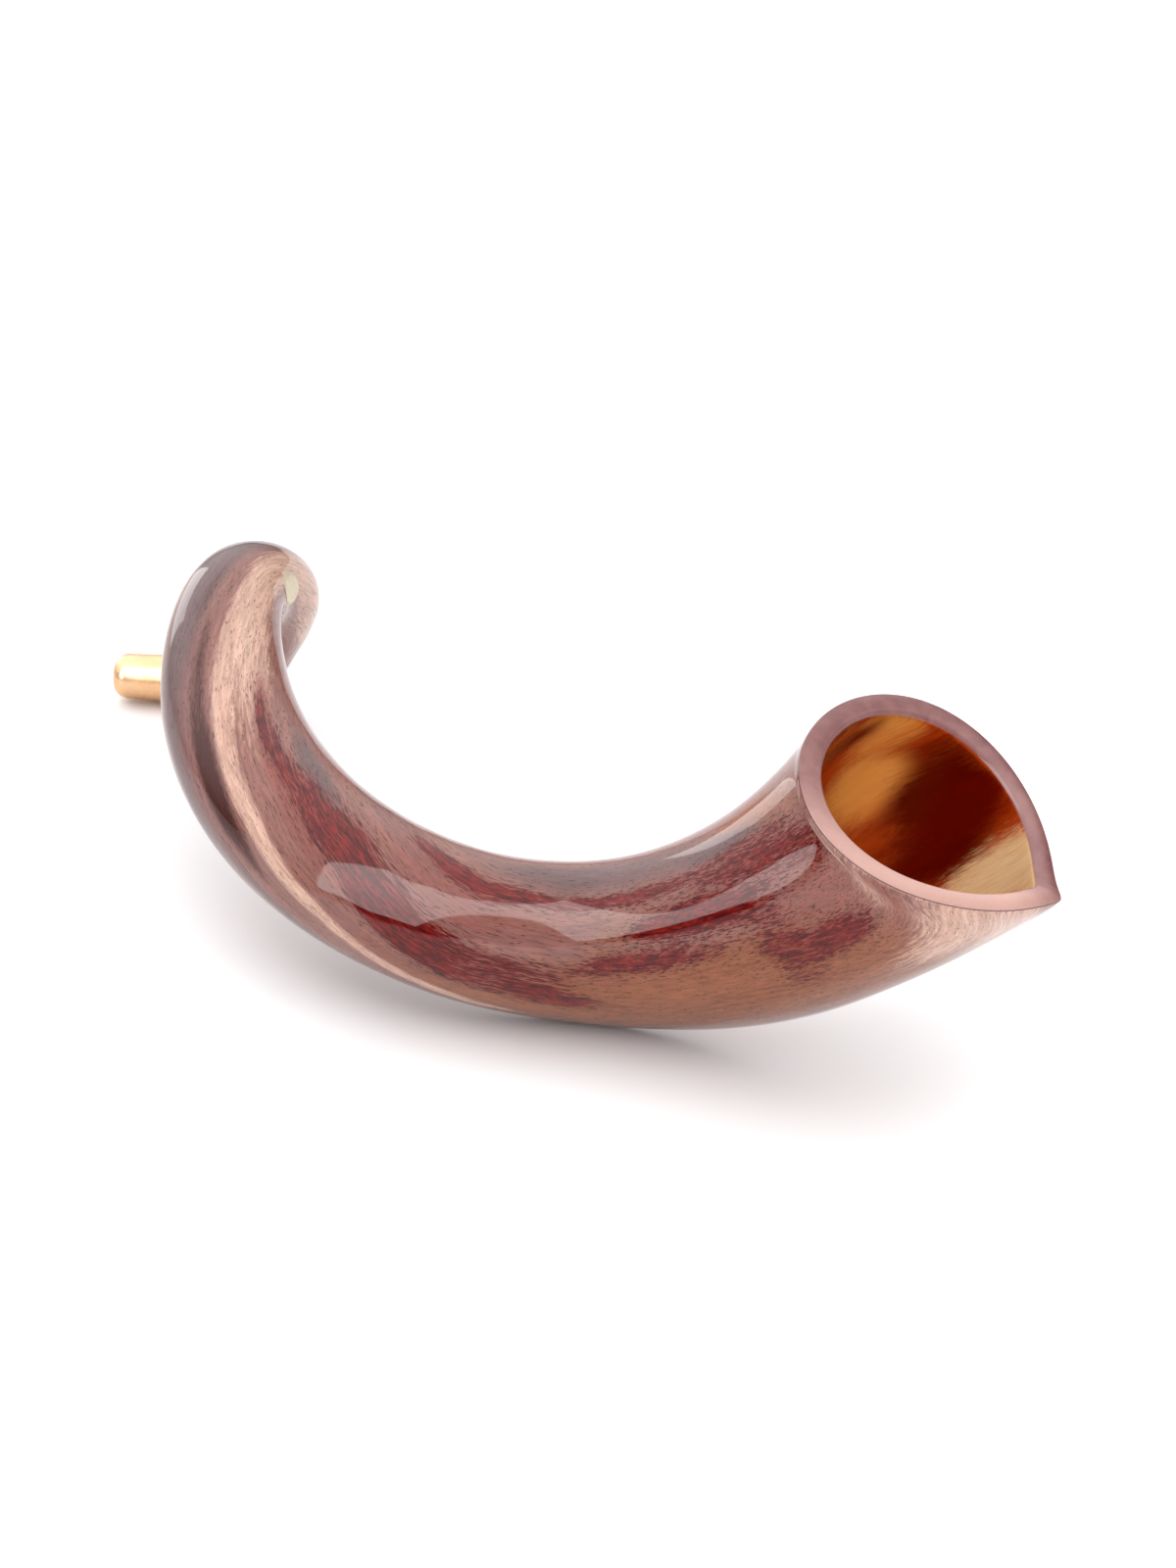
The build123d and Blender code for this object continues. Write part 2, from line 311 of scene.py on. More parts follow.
# ---- the horn -----------------------------------------------------------------------------------
def lip_rings(angle):
    """The rounded lip of the mouth, from the hollow's edge over the lip to the outside's edge."""
    rings = []
    turn = np.linspace(0, math.pi / 2, LIP_CORNER_STEPS)

    def lip_point(across, down):
        """Across is 0 at the outside and 1 at the hollow's side, as a share of the wall."""
        share = np.array([down / MOUTH_PACE])
        outer = surface(share, angle)[0]
        inner = surface(share, angle, hollow=True)[0]
        return outer + (inner - outer) * across

    for a in turn:
        across = 1 - LIP_INNER_ROUND * (1 - math.cos(a)) / MOUTH_WALL
        rings.append(lip_point(across, LIP_CROWN + LIP_INNER_ROUND * (1 - math.sin(a))))
    inner_edge = 1 - LIP_INNER_ROUND / MOUTH_WALL
    outer_edge = LIP_OUTER_ROUND / MOUTH_WALL
    for u in np.linspace(0, 1, LIP_FACE_STEPS)[1:-1]:
        across = inner_edge + (outer_edge - inner_edge) * u
        rings.append(lip_point(across, LIP_CROWN * (2 * u - 1) ** 2))
    for a in turn[::-1]:
        across = LIP_OUTER_ROUND * (1 - math.cos(a)) / MOUTH_WALL
        rings.append(lip_point(across, LIP_CROWN + LIP_OUTER_ROUND * (1 - math.sin(a))))
    return rings


def surface_detail(share, angle, points):
    """Moves outside points in or out for the flank's low ridge and faint lengthwise ripples."""
    grain = grain_angle(share[:, None], angle[None])
    ridge = np.exp(-(turn_apart(grain, RIDGE_GRAIN) / RIDGE_SPREAD) ** 2)
    along = (smooth(share, *RIDGE_RISE) * (1 - smooth(share, *RIDGE_FALL)))[:, None]
    wide, fine = RIPPLE_COUNTS
    wide_twist, fine_twist = RIPPLE_TWISTS
    waves = np.sin(np.radians(grain) * wide + wide_twist * share[:, None])
    waves = waves + np.sin(np.radians(grain) * fine + fine_twist * share[:, None]
                           + RIPPLE_OFFSET)
    fade = (smooth(share, *RIPPLE_START) * (1 - smooth(share, *RIPPLE_END)))[:, None]
    move = RIDGE_HEIGHT * ridge * along - RIPPLE_DEPTH * (1 - waves / 2) * fade
    centre = along_horn(share)[0][:, None]
    return points + unit(points - centre) * move[..., None]


def tip_rings(angle):
    """The spigot and the socket for the receiver, from the shoulder to the bore."""
    end_share = np.array([1.0])
    centre = along_horn(end_share)[0][0]
    keel, flank = [rows[0] for rows in section_axes(end_share)]
    around = np.cos(angle)[:, None] * keel + np.sin(angle)[:, None] * flank
    spigot_end = FERRULE_LENGTH - FERRULE_FACE
    socket_end = FERRULE_LENGTH - RECEIVER_LENGTH
    profile = [(SPIGOT_RADIUS, 0), (SPIGOT_RADIUS, spigot_end / 2), (SPIGOT_RADIUS, spigot_end)]
    profile += [(RECEIVER_RADIUS, height) for height in (spigot_end, *SOCKET_RINGS, socket_end)]
    profile += [(BORE_RADIUS, socket_end)]
    return np.array([centre + TIP_DIRECTION * height + around * radius
                     for radius, height in profile])


def make_horn():
    """The horn as one closed mesh of outside, tip, hollow and lip, with fields for its colours."""
    angle = ring_angles()
    outer_start = (LIP_OUTER_ROUND + LIP_CROWN + LIP_GAP) / MOUTH_PACE
    outer_shares = np.linspace(outer_start, 1, OUTER_RINGS)
    outer = surface_detail(outer_shares, angle, surface(outer_shares, angle))
    tip = tip_rings(angle)
    inner_start = (LIP_INNER_ROUND + LIP_CROWN + LIP_GAP) / MOUTH_PACE
    inner_shares = np.linspace(INNER_END, inner_start, INNER_RINGS)
    inner = surface(inner_shares, angle, hollow=True)
    lip = np.array(lip_rings(angle))
    rings = np.concatenate([outer, tip, inner, lip])
    item = mesh_object("natural_horn", rings.reshape(-1, 3), grid_faces(len(rings), AROUND, True))

    shares = np.concatenate([outer_shares, np.ones(len(tip)), inner_shares, np.zeros(len(lip))])
    inside = np.concatenate([np.zeros(len(outer) + len(tip)), np.ones(len(inner)),
                             np.linspace(1, 0, len(lip))])
    lip_mark = np.zeros(len(rings))
    lip_mark[-len(lip):] = 1
    travelled = np.interp(shares, LENGTHS, TRAVELLED) * MM
    middle = along_horn(shares)[0][:, None]
    radius = np.linalg.norm(rings - middle, axis=2) * MM
    grain = np.radians(grain_angle(shares[:, None], angle[None]))
    fibre = np.stack([np.repeat(travelled[:, None], AROUND, 1),
                      radius * np.cos(grain), radius * np.sin(grain)], -1)
    set_field(item, "fibre", fibre.reshape(-1, 3), "FLOAT_VECTOR")
    set_field(item, "inside", np.repeat(inside, AROUND))
    set_field(item, "lip", np.repeat(lip_mark, AROUND))
    for name, marks in MARKINGS.items():
        set_field(item, name, marking_field(shares, angle, marks).ravel())
    return item


def marking_field(share, angle, marks):
    """How strongly a marking shows at each point, from soft ovals that lie along the fibres."""
    grain = grain_angle(share[:, None], angle[None])
    clear = np.ones(grain.shape)
    for place, degrees, half_length, half_turn, strength in marks:
        home = grain_angle(np.array(place), np.radians(degrees))
        distance = ((share[:, None] - place) / half_length) ** 2
        distance = distance + (turn_apart(grain, home) / half_turn) ** 2
        clear *= 1 - strength * np.exp(-distance ** MARK_EDGE)
    return 1 - clear


# Natural markings: share along the horn, degrees round from the keel, half length, half turn,
# strength. The first six kinds are on the outside, the last three in the hollow. The cream
# mark just before share 0 tints the lip. The amber marks are natural amber made brighter
# with painted light, standing in for light shining through the wall.
MARKINGS = {
    "tan": [
        (0.27, 80, 0.17, 42, 1), (0.12, 50, 0.08, 30, 0.7), (0.42, 60, 0.08, 25, 0.5),
        (0.53, 180, 0.06, 11, 0.5), (0.17, 176, 0.04, 14, 0.8), (0.3, 330, 0.2, 40, 0.9),
        (0.6, 20, 0.1, 30, 0.7), (0.9, 120, 0.08, 50, 0.5), (0.25, 245, 0.1, 20, 0.5)],
    "cream": [
        (-0.01, 85, 0.02, 48, 0.95), (0.06, 112, 0.06, 40, 0.6), (0.03, 35, 0.07, 30, 0.9),
        (0.08, 60, 0.07, 20, 0.7), (0.44, 68, 0.05, 7, 0.9), (0.53, 134, 0.07, 8, 0.9),
        (0.62, 175, 0.07, 9, 0.9), (0.72, 214, 0.08, 22, 0.9), (0.65, 212, 0.09, 24, 0.55),
        (0.85, 265, 0.06, 50, 0.7), (0.79, 225, 0.06, 45, 0.85), (0.12, 300, 0.1, 20, 0.6),
        (0.5, 300, 0.08, 20, 0.5), (0.95, 250, 0.04, 60, 0.5), (0.88, 20, 0.06, 40, 0.6)],
    "slate": [
        (0.33, 175, 0.13, 20, 0.75), (0.36, 178, 0.04, 8, 0.8), (0.55, 205, 0.05, 12, 0.9),
        (0.49, 200, 0.06, 14, 0.5), (0.68, 145, 0.09, 26, 0.9), (0.76, 165, 0.07, 22, 0.6),
        (0.5, 78, 0.07, 9, 0.7), (0.57, 100, 0.06, 18, 0.6), (0.85, 280, 0.07, 60, 0.25),
        (0.8, 130, 0.08, 40, 0.7), (0.2, 165, 0.05, 8, 0.7), (0.42, 320, 0.1, 22, 0.6),
        (0.7, 330, 0.1, 40, 0.7), (0.06, 215, 0.06, 20, 0.5)],
    "rose": [
        (0.06, 88, 0.08, 12, 0.6), (0.14, 125, 0.08, 24, 0.6), (0.02, 140, 0.05, 30, 0.2),
        (0.45, 160, 0.08, 26, 0.6), (0.52, 160, 0.05, 14, 0.7), (0.59, 196, 0.05, 8, 0.9),
        (0.43, 105, 0.05, 20, 0.6), (0.2, 205, 0.1, 25, 0.6), (0.1, 350, 0.08, 25, 0.7),
        (0.35, 250, 0.1, 25, 0.7), (0.62, 260, 0.08, 25, 0.5), (0.33, 100, 0.09, 12, 0.5)],
    "crimson": [
        (0.14, 98, 0.035, 12, 0.8), (0.18, 92, 0.022, 30, 0.6), (0.225, 131, 0.075, 13, 1),
        (0.175, 150, 0.05, 13, 0.8), (0.28, 112, 0.075, 9, 0.85), (0.375, 83, 0.042, 11, 1),
        (0.39, 101, 0.06, 14, 0.75), (0.44, 100, 0.035, 12, 0.9), (0.465, 122, 0.03, 10, 0.95),
        (0.48, 153, 0.07, 19, 0.9), (0.53, 180, 0.04, 12, 0.7), (0.43, 166, 0.06, 11, 0.8),
        (0.3, 154, 0.13, 7, 0.8), (0.57, 193, 0.035, 8, 0.75), (0.6, 198, 0.025, 5, 0.7),
        (0.115, 140, 0.04, 16, 0.5), (0.28, 225, 0.06, 18, 0.8), (0.16, 335, 0.05, 18, 0.8),
        (0.4, 275, 0.07, 16, 0.9), (0.47, 350, 0.06, 18, 0.8), (0.21, 290, 0.06, 16, 0.6),
        (0.56, 330, 0.05, 16, 0.7)],
    "umber": [
        (0.585, 143, 0.05, 13, 1), (0.64, 160, 0.06, 9, 0.7), (0.66, 185, 0.05, 5, 0.5),
        (0.55, 128, 0.02, 6, 0.5), (0.44, 92, 0.02, 6, 0.6), (0.7, 165, 0.06, 7, 0.5),
        (0.65, 40, 0.06, 12, 0.7)],
    "amber": [
        (0.10, 255, 0.05, 18, 1), (0.04, 232, 0.06, 12, 0.7), (0.015, 215, 0.03, 14, 0.6),
        (0.12, 120, 0.08, 30, 0.8), (0.25, 300, 0.1, 60, 0.6), (0.08, 20, 0.05, 20, 0.5)],
    "oxblood": [
        (0.055, 279, 0.055, 20, 1), (0.03, 258, 0.035, 12, 0.6), (0.09, 303, 0.05, 15, 0.8),
        (0.02, 190, 0.05, 16, 0.6), (0.06, 215, 0.06, 7, 0.5), (0.2, 60, 0.1, 40, 0.9),
        (0.22, 200, 0.1, 50, 0.8), (0.4, 180, 0.15, 200, 0.9)],
    "straw": [
        (0.03, 326, 0.07, 22, 1), (0.08, 328, 0.04, 12, 0.8), (0.01, 350, 0.04, 20, 0.9),
        (0.05, 70, 0.05, 20, 0.6)],
}


# ---- materials ----------------------------------------------------------------------------------
def srgb(red, green, blue):
    """Display values from 0 to 255 as linear colour."""
    values = []
    for part in (red, green, blue):
        c = part / 255
        values.append(c / 12.92 if c <= 0.04045 else ((c + 0.055) / 1.055) ** 2.4)
    return (*values, 1.0)


class Look:
    """Short calls for building a node material."""

    def __init__(self, name):
        self.material = bpy.data.materials.new(name)
        self.material.use_nodes = True
        self.tree = self.material.node_tree
        self.shader = self.tree.nodes["Principled BSDF"]

    def add(self, kind, **settings):
        """A new node with its own settings."""
        node = self.tree.nodes.new(kind)
        for key, value in settings.items():
            setattr(node, key, value)
        return node

    def link(self, source, socket):
        """Links a node's output, or sets a plain value on the socket."""
        if isinstance(source, bpy.types.NodeSocket):
            self.tree.links.new(source, socket)
        else:
            socket.default_value = source

    def field(self, name, output="Fac"):
        """A value stored at the mesh's points."""
        return self.add("ShaderNodeAttribute", attribute_name=name).outputs[output]

    def stretched(self, source, scale):
        """Coordinates scaled differently along each axis."""
        node = self.add("ShaderNodeMapping")
        self.link(source, node.inputs["Vector"])
        node.inputs["Scale"].default_value = scale
        return node.outputs["Vector"]

    def noise(self, vector, scale, detail, roughness=0.55, distortion=0.0):
        node = self.add("ShaderNodeTexNoise")
        self.link(vector, node.inputs["Vector"])
        node.inputs["Scale"].default_value = scale
        node.inputs["Detail"].default_value = detail
        node.inputs["Roughness"].default_value = roughness
        node.inputs["Distortion"].default_value = distortion
        return node.outputs["Fac"]

    def math(self, operation, first, second=0.0, third=0.0):
        node = self.add("ShaderNodeMath", operation=operation)
        for value, socket in zip((first, second, third), node.inputs):
            self.link(value, socket)
        return node.outputs[0]

    def ramp(self, value, low, high, out_low=0.0, out_high=1.0):
        """Smoothly from out_low to out_high as value goes from low to high."""
        node = self.add("ShaderNodeMapRange", interpolation_type="SMOOTHSTEP")
        for source, socket in zip((value, low, high, out_low, out_high), node.inputs):
            self.link(source, socket)
        return node.outputs[0]

    def mix(self, factor, first, second, blend="MIX"):
        node = self.add("ShaderNodeMix", data_type="RGBA", blend_type=blend)
        self.link(factor, node.inputs[0])
        self.link(first, node.inputs[6])
        self.link(second, node.inputs[7])
        return node.outputs[2]

    def bump(self, height, strength, distance):
        node = self.add("ShaderNodeBump")
        node.inputs["Strength"].default_value = strength
        node.inputs["Distance"].default_value = distance
        self.link(height, node.inputs["Height"])
        return node.outputs["Normal"]

    def set(self, **values):
        for name, value in values.items():
            self.link(value, self.shader.inputs[name.replace("_", " ")])


def horn_material():
    """Lacquered horn: mauve keratin with fibrous markings outside, amber inside, and painted light
    on the lip and in the amber.
    """
    look = Look("lacquered_horn")
    fibre = look.field("fibre", "Vector")
    inside = look.field("inside")
    lip = look.field("lip")

    # Noise drawn out along the fibres, from broad clouds to short dashes.
    broad = look.noise(look.stretched(fibre, (14, 60, 60)), 1, 5, 0.6, 0.5)
    bands = look.noise(look.stretched(fibre, (5, 150, 150)), 1, 3, 0.5, 0.2)
    streaks = look.noise(look.stretched(fibre, (70, 900, 900)), 1, 3, 0.6)
    dashes = look.noise(look.stretched(fibre, (230, 2300, 2300)), 1, 2, 0.6)
    # Their mixture, less its average, breaks up the markings' edges.
    ragged = look.math("MULTIPLY_ADD", dashes, 0.5, look.math("MULTIPLY", streaks, 0.6))
    ragged = look.math("MULTIPLY_ADD", broad, 0.6, ragged)
    ragged = look.math("SUBTRACT", ragged, 0.85)

    def patch(name, colour_in, colour, low, high, rag):
        """Lays a marking over the colour so far. It fades in from low to high, and rag is how
        far the fibres break up its edge."""
        edge = look.math("MULTIPLY_ADD", ragged, rag, look.field(name))
        return look.mix(look.ramp(edge, low, high), colour_in, colour)

    mauve = look.mix(bands, srgb(182, 130, 120), srgb(134, 82, 80))
    outside = look.mix(look.ramp(broad, 0.35, 0.7), mauve, srgb(160, 104, 88))
    tan = look.mix(bands, srgb(176, 108, 74), srgb(146, 80, 50))
    cream = look.mix(bands, srgb(250, 210, 188), srgb(216, 162, 142))
    slate = look.mix(bands, srgb(134, 102, 100), srgb(100, 70, 72))
    rose = look.mix(bands, srgb(172, 100, 86), srgb(138, 68, 62))
    blood = look.mix(look.ramp(streaks, 0.35, 0.65), srgb(160, 34, 26), srgb(86, 2, 8))
    outside = patch("tan", outside, tan, 0.2, 0.75, 1.0)
    outside = patch("cream", outside, cream, 0.3, 0.8, 0.8)
    outside = patch("slate", outside, slate, 0.2, 0.85, 0.8)
    outside = patch("rose", outside, rose, 0.25, 0.85, 1.2)
    outside = patch("crimson", outside, blood, 0.35, 0.75, 1.8)
    outside = patch("umber", outside, srgb(76, 22, 14), 0.3, 0.85, 1.0)

    # Dark dashes along the fibres, more of them in the crimson, and a shade that follows the grain.
    dash_room = look.math("MULTIPLY", broad, 0.1)
    dash_room = look.math("MULTIPLY_ADD", look.field("crimson"), 0.1, dash_room)
    dash = look.ramp(look.math("ADD", dashes, dash_room), 0.66, 0.72)
    outside = look.mix(look.math("MULTIPLY", dash, 0.8), outside, srgb(50, 8, 10))
    shade = look.ramp(streaks, 0.25, 0.75, 0.54, 0.86)
    outside = look.mix(1.0, outside, shade, "MULTIPLY")

    hollow = look.mix(look.ramp(broad, 0.3, 0.7), srgb(184, 70, 16), srgb(122, 24, 4))
    # Painted light: the amber is made brighter than the horn's own amber, standing in for light
    # shining through the wall.
    amber = look.mix(bands, srgb(242, 168, 84), srgb(222, 130, 52))
    oxblood = look.mix(broad, srgb(44, 2, 0), srgb(112, 12, 0))
    straw = look.mix(streaks, srgb(252, 230, 184), srgb(216, 156, 92))
    hollow = patch("amber", hollow, amber, 0.2, 0.9, 0.6)
    hollow = patch("oxblood", hollow, oxblood, 0.15, 0.8, 0.6)
    hollow = patch("straw", hollow, straw, 0.3, 0.9, 1.0)

    # Painted shade and highlight on the lip: its outer half is darkened and its inner ridge
    # lightened, as light falls on the rounded lip.
    lip_outer_shaded = look.mix(bands, srgb(146, 98, 96), srgb(92, 50, 54))
    lip_inner_highlit = look.mix(bands, srgb(158, 116, 114), srgb(112, 72, 74))
    lip_colour = look.mix(look.ramp(inside, 0.35, 0.8), lip_outer_shaded, lip_inner_highlit)
    lip_cream = look.math("MULTIPLY", look.field("cream"), 0.85)
    lip_colour = look.mix(lip_cream, lip_colour, srgb(222, 178, 166))
    # Painted shadow: a thin dark line along the lip's outer edge.
    lip_colour = look.mix(look.ramp(inside, 0.03, 0.12), srgb(84, 34, 34), lip_colour)

    colour = look.mix(look.ramp(inside, 0.85, 0.99), outside, hollow)
    lip_part = look.math("MULTIPLY", look.ramp(lip, 0.2, 0.8), look.ramp(inside, 0.97, 0.9))
    colour = look.mix(look.math("MULTIPLY", lip_part, 0.9), colour, lip_colour)
    look.set(Base_Color=colour, Roughness=0.45, IOR=1.5, Specular_IOR_Level=0.0, Coat_Weight=1.0,
          Coat_Roughness=0.05, Coat_IOR=1.38)
    # Shallow grooves between the fibres, deepest at the dashes.
    grooves = look.math("MULTIPLY", streaks, 0.6)
    grooves = look.math("MULTIPLY_ADD", dash, -0.4, grooves)
    look.set(Normal=look.bump(grooves, 0.25, 0.0003))
    return look.material


def gold_material():
    """Gold plate with a soft polish and fine wear."""
    look = Look("gold_plate")
    place = look.add("ShaderNodeTexCoord").outputs["Object"]
    cloudy = look.noise(place, 60, 3)
    fine = look.noise(place, 1400, 2)
    colour = look.mix(look.ramp(cloudy, 0.3, 0.7), srgb(228, 186, 146), srgb(214, 166, 122))
    look.set(Base_Color=colour, Metallic=1.0, Roughness=look.ramp(fine, 0.3, 0.7, 0.27, 0.34))
    wear = look.math("MULTIPLY_ADD", fine, 0.1, cloudy)
    look.set(Normal=look.bump(wear, 0.15, 0.0004))
    return look.material


def raw_brass_material():
    """Turned brass with fine tool lines."""
    look = Look("raw_brass")
    place = look.add("ShaderNodeTexCoord").outputs["Object"]
    lines = look.noise(look.stretched(place, (3500, 500, 60)), 1, 2)
    colour = look.mix(lines, srgb(206, 164, 92), srgb(176, 132, 66))
    look.set(Base_Color=colour, Metallic=1.0, Roughness=look.ramp(lines, 0.3, 0.7, 0.24, 0.38))
    look.set(Normal=look.bump(lines, 0.2, 0.0001))
    return look.material


def foil_material():
    """Pale gold foil with a faint crinkle."""
    look = Look("gold_foil")
    place = look.add("ShaderNodeTexCoord").outputs["Object"]
    crinkle = look.noise(place, 900, 3)
    colour = look.mix(crinkle, srgb(222, 208, 182), srgb(196, 180, 150))
    look.set(Base_Color=colour, Metallic=0.6, Roughness=look.ramp(crinkle, 0.3, 0.7, 0.3, 0.5))
    look.set(Normal=look.bump(crinkle, 0.3, 0.0002))
    return look.material


def floor_material():
    """A plain pale surface."""
    look = Look("floor")
    place = look.add("ShaderNodeTexCoord").outputs["Object"]
    look.set(Base_Color=look.mix(look.noise(place, 3, 2), srgb(244, 244, 245), srgb(247, 247, 248)),
          Roughness=0.75)
    return look.material


# ---- the turned metal pieces --------------------------------------------------------------------
def turned_object(name, profile):
    """A piece turned on the tip's axis, from a closed profile of (radius, height) pairs."""
    start = along_horn(np.array([1.0]))[0][0]
    up = np.array([0, 0, 1.0])
    side = np.cross(TIP_DIRECTION, up)
    angle = 2 * math.pi * np.arange(TURNED_POINTS) / TURNED_POINTS
    ring = np.cos(angle)[:, None] * up + np.sin(angle)[:, None] * side
    rows = np.array([start + TIP_DIRECTION * height + ring * radius for radius, height in profile])
    return mesh_object(name, rows.reshape(-1, 3), grid_faces(len(rows), TURNED_POINTS, True))


def make_ferrule():
    """The cap over the spigot: a tapered sleeve with a flat face round the receiver."""
    inner_end = FERRULE_LENGTH - FERRULE_FACE
    corners = [(SPIGOT_RADIUS, 0, 0), (FERRULE_REAR_RADIUS, 0, FERRULE_REAR_EDGE),
               (FERRULE_FRONT_RADIUS, FERRULE_LENGTH, FERRULE_FRONT_EDGE),
               (RECEIVER_RADIUS, FERRULE_LENGTH, 0),
               (RECEIVER_RADIUS, inner_end, 0), (SPIGOT_RADIUS, inner_end, 0)]
    return turned_object("tip_ferrule_polished", rounded_profile(corners))


def taper_radius(height):
    """Radius of the receiver's taper at a height on the tip's axis."""
    rear = FERRULE_LENGTH - RECEIVER_LENGTH
    share = (height - rear) / RECEIVER_LENGTH
    return TAPER_REAR_RADIUS + (TAPER_FRONT_RADIUS - TAPER_REAR_RADIUS) * share


def arc_through(first, middle, last, steps):
    """Points from first to last on the circle through three (radius, height) points."""
    one, two, three = np.array([first, middle, last])
    centre = np.linalg.solve(2 * np.array([two - one, three - one]),
                             [two @ two - one @ one, three @ three - one @ one])
    radius = math.dist(first, centre)

    def angle_of(point):
        return math.atan2(point[1] - centre[1], point[0] - centre[0])

    start = angle_of(first)
    part = math.remainder(angle_of(middle) - start, 2 * math.pi)
    whole = math.remainder(angle_of(last) - start, 2 * math.pi)
    if part * whole < 0:
        whole += math.copysign(2 * math.pi, part)
    return [(centre[0] + radius * math.cos(a), centre[1] + radius * math.sin(a))
            for a in np.linspace(start, start + whole, steps + 1)]


def make_mouthpiece():
    """The mouthpiece: shank, head with its rounded rim, cup and throat."""
    shank_end = FERRULE_LENGTH - RECEIVER_LENGTH
    head_back = FERRULE_LENGTH + HEAD_GAP
    rim_top = FERRULE_LENGTH + HEAD_LENGTH
    front = taper_radius(head_back) - SHANK_CLEARANCE
    rear = taper_radius(shank_end) - SHANK_CLEARANCE
    throat_top = rim_top - CUP_DEPTH

    back_edge = (HEAD_BACK_RADIUS - HEAD_BACK_EDGE, head_back)
    back_middle = (HEAD_BACK_RADIUS - BACK_EDGE_MIDDLE, head_back + BACK_EDGE_MIDDLE)
    back_side = (HEAD_BACK_RADIUS, head_back + HEAD_BACK_EDGE)
    rim_start = (HEAD_RIM_RADIUS, rim_top - RIM_HEIGHT)
    shoulder = (HEAD_RIM_RADIUS - RIM_SHOULDER[0], rim_top - RIM_SHOULDER[1])
    crest = (RIM_CREST_RADIUS, rim_top)
    rim_inner = (CUP_RADIUS + RIM_INNER[0], rim_top - RIM_INNER[1])
    cup_start = (CUP_RADIUS, rim_top - CUP_START)
    cup_wall = (CUP_RADIUS - CUP_WALL[0], rim_top - CUP_WALL[1])
    cup_end = (THROAT_RADIUS, throat_top)

    profile = [(BORE_RADIUS, shank_end), (rear - SHANK_EDGE, shank_end),
               (rear, shank_end + SHANK_EDGE), (front, head_back), back_edge]
    profile += arc_through(back_edge, back_middle, back_side, EDGE_STEPS)[1:]
    profile += [(HEAD_BACK_RADIUS + (HEAD_RIM_RADIUS - HEAD_BACK_RADIUS) * u,
                 head_back + (rim_top - RIM_HEIGHT - head_back) * u) for u in (0.25, 0.5, 0.75)]
    profile += arc_through(rim_start, shoulder, crest, BOWL_STEPS)
    profile += arc_through(crest, rim_inner, cup_start, INNER_STEPS)[1:]
    profile += arc_through(cup_start, cup_wall, cup_end, BOWL_STEPS)[1:]
    profile += [(THROAT_RADIUS, throat_top - THROAT_LENGTH)]
    return turned_object("mouthpiece_polished", profile)


# ---- the foil label -----------------------------------------------------------------------------
def make_label():
    """An oval of foil pressed onto the horn, with a raised band, rays and a ring of beads."""
    share, degrees = LABEL_PLACE
    turn = 2 * math.pi * np.arange(LABEL_POINTS) / LABEL_POINTS
    pace = float(np.interp(share, LENGTHS[1:], PACES)) / LENGTHS[1]
    radius = float(along_horn(np.array([share]))[1][0])
    reach = np.linspace(0, 1, LABEL_RINGS + 1)[1:]
    heights = label_relief(reach[:, None], turn[None])
    points = []
    under = []
    for i, out in enumerate(reach):
        for j, a in enumerate(turn):
            lengthways = LABEL_LENGTH / 2 * out * math.cos(a)
            sideways = LABEL_WIDTH / 2 * out * math.sin(a)
            spot, outward = horn_spot(share + lengthways / pace,
                                      math.radians(degrees) + sideways / radius)
            points.append(spot + outward * (LABEL_THICKNESS + heights[i, j]))
            if i == LABEL_RINGS - 1:
                under.append(spot - outward * LABEL_SINK)
    spot, outward = horn_spot(share, math.radians(degrees))
    points += under
    points.append(spot + outward * LABEL_THICKNESS)
    faces = grid_faces(LABEL_RINGS + 1, LABEL_POINTS, False)
    middle = len(points) - 1
    faces += [(middle, j, (j + 1) % LABEL_POINTS) for j in range(LABEL_POINTS)]
    return mesh_object("foil_label_embossed", points, faces)


def horn_spot(share, angle):
    """A point on the outside and the way out of the horn there."""
    along, around = NEAR_SPOT
    shares = np.array([share - along, share, share + along])
    angles = np.array([angle - around, angle, angle + around])
    near = surface_detail(shares, angles, surface(shares, angles))
    outward = unit(np.cross(near[1, 2] - near[1, 0], near[2, 1] - near[0, 1]))
    centre = along_horn(shares)[0][1]
    if np.dot(outward, near[1, 1] - centre) < 0:
        outward = -outward
    return near[1, 1], outward


def label_relief(reach, turn):
    """Height of the foil's relief at each share of its radius and each turn round it."""
    def raised(place, spread, height):
        return height * np.exp(-((reach - place) / spread) ** 2)

    bead_count, *bead_shape = LABEL_BEADS
    ray_count, *ray_shape = LABEL_RAYS
    beads = np.maximum(np.cos(turn * bead_count), 0) * raised(*bead_shape)
    rays = np.maximum(np.cos(turn * ray_count), 0) * raised(*ray_shape)
    return beads + rays + raised(*LABEL_BAND)


# ---- stage --------------------------------------------------------------------------------------
TENT_CENTRE = (-0.3, 0.35, 0.9)
TENT_LOW = 0.2              # nearness to the centre where the tent starts to brighten
TENT_HIGH = 0.9             # and where it is brightest
TENT_DIM = 0.18
TENT_BRIGHT = 2.1
FLOOR_HALF = 40000          # half the floor's side, so that its edge is never in view
FLOOR_LINES = 9


def make_floor():
    """The plain floor the horn rests on."""
    lines = np.linspace(-FLOOR_HALF, FLOOR_HALF, FLOOR_LINES)
    points = [(x, y, 0) for y in lines for x in lines]
    steps = range(FLOOR_LINES - 1)
    corners = (0, 1, FLOOR_LINES + 1, FLOOR_LINES)
    faces = [tuple(i * FLOOR_LINES + j + corner for corner in corners)
             for i in steps for j in steps]
    floor = mesh_object("floor", points, faces)
    floor.data.materials.append(floor_material())


def aim(item, place, target):
    """Points item's -Z axis from place to target."""
    item.location = place
    item.rotation_euler = (Vector(target) - Vector(place)).to_track_quat("-Z", "Y").to_euler()


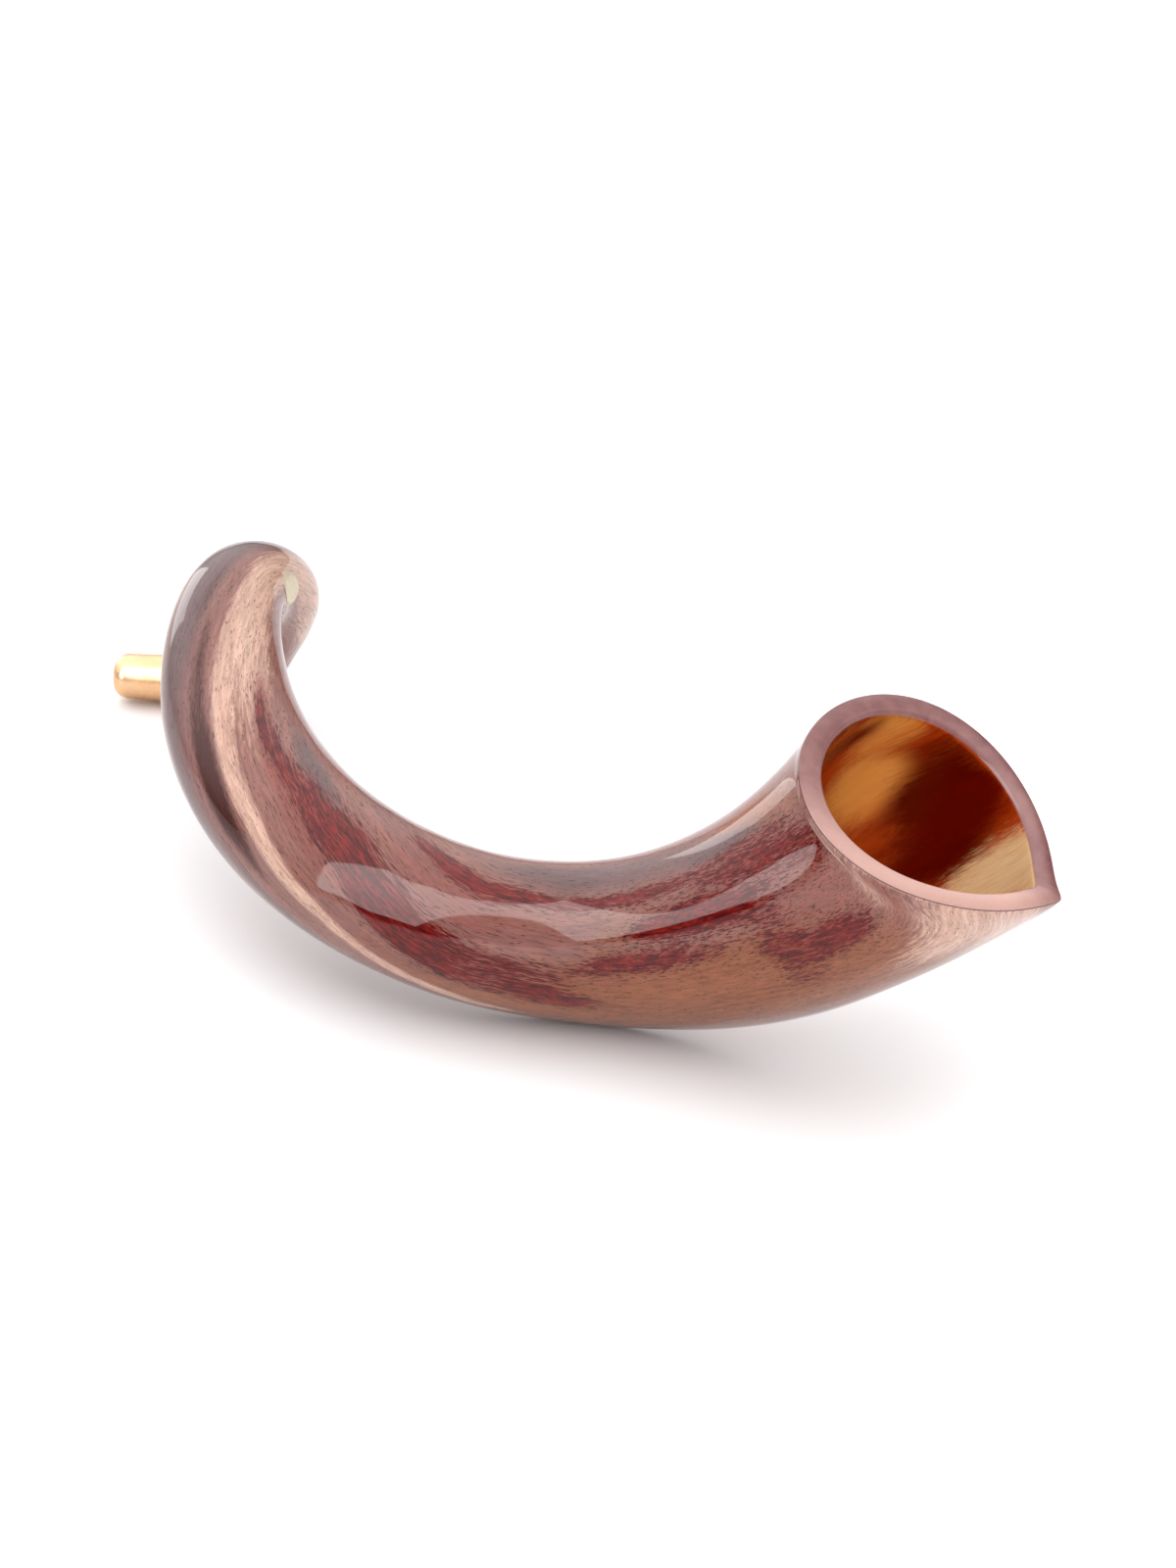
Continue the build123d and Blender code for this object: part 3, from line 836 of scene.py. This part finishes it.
def soft_light(name, place, target, width, height, brightness, glints):
    """A soft box light, its brightness counted in picture whites. With glints it shows only
    in glossy surfaces, and without them it lights only matt ones."""
    lamp = bpy.data.lights.new(name, "AREA")
    lamp.shape = "RECTANGLE"
    lamp.size = width
    lamp.size_y = height
    lamp.energy = brightness * math.pi * width * height
    item = bpy.data.objects.new(name, lamp)
    item.visible_camera = False
    item.visible_diffuse = not glints
    item.visible_glossy = glints
    bpy.context.scene.collection.objects.link(item)
    aim(item, place, target)


def make_world():
    """A soft white tent, brightest overhead towards TENT_CENTRE and darker towards the horizon."""
    world = bpy.data.worlds.new("studio")
    world.use_nodes = True
    nodes = world.node_tree.nodes
    links = world.node_tree.links
    place = nodes.new("ShaderNodeTexCoord")
    nearness = nodes.new("ShaderNodeVectorMath")
    nearness.operation = "DOT_PRODUCT"
    nearness.inputs[1].default_value = Vector(TENT_CENTRE).normalized()
    rise = nodes.new("ShaderNodeMapRange")
    rise.interpolation_type = "SMOOTHSTEP"
    rise.inputs["From Min"].default_value = TENT_LOW
    rise.inputs["From Max"].default_value = TENT_HIGH
    rise.inputs["To Min"].default_value = TENT_DIM
    rise.inputs["To Max"].default_value = TENT_BRIGHT
    links.new(place.outputs["Generated"], nearness.inputs[0])
    links.new(nearness.outputs["Value"], rise.inputs["Value"])
    background = nodes["Background"]
    background.inputs["Color"].default_value = (1, 1, 1, 1)
    links.new(rise.outputs["Result"], background.inputs["Strength"])
    bpy.context.scene.world = world


def make_lights():
    """Two windows that the lacquer mirrors, and a broad soft light from the front."""
    soft_light("left_window", (-0.61, -0.5, 0.64), (0, -0.1, 0.06), 0.6, 1.1, 5, True)
    soft_light("rear_window", (-0.55, 0.68, 0.235), (0.06, -0.105, 0.113), 0.3, 0.3, 2.5, True)
    soft_light("front_fill", (0.5, -1.2, 0.9), (0, -0.1, 0.05), 1.4, 1.2, 2.2, False)


# ---- camera -------------------------------------------------------------------------------------
VIEW_ELEVATION = 28
VIEW_DISTANCE = 1.5
VIEW_AIM = (0.018, -0.053, 0.075)
VIEW_LENS = 91.8
SENSOR_WIDTH = 36
CLIP_GAP = 0.05
CLIP_END = 200


def make_camera():
    """The camera, in front of the horn and looking down on it."""
    lens = bpy.data.cameras.new("camera")
    lens.lens = VIEW_LENS
    lens.sensor_width = SENSOR_WIDTH
    lens.clip_start = CLIP_GAP
    lens.clip_end = CLIP_END
    camera = bpy.data.objects.new("camera", lens)
    bpy.context.scene.collection.objects.link(camera)
    rise = math.radians(VIEW_ELEVATION)
    place = Vector(VIEW_AIM) + VIEW_DISTANCE * Vector((0, -math.cos(rise), math.sin(rise)))
    aim(camera, place, VIEW_AIM)
    bpy.context.scene.camera = camera


# ---- putting it together ------------------------------------------------------------------------
def finish_piece(item, material, body, node):
    """Gives a piece its material and the body it moves with, and hides the CAD node it stands for.
    """
    item.data.materials.clear()
    item.data.materials.append(material)
    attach(item, body)
    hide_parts(node)


gold = gold_material()
finish_piece(make_horn(), horn_material(), "horn", "horn_shell")
finish_piece(make_ferrule(), gold, "horn", "tip_ferrule")
finish_piece(make_mouthpiece(), gold, "mouthpiece", "mouthpiece")
finish_piece(make_label(), foil_material(), "horn", "foil_label")
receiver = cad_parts["receiver_tube"]
receiver.data.materials.clear()
receiver.data.materials.append(raw_brass_material())
make_floor()
make_world()
make_lights()
make_camera()
bpy.context.scene.view_settings.view_transform = "Standard"
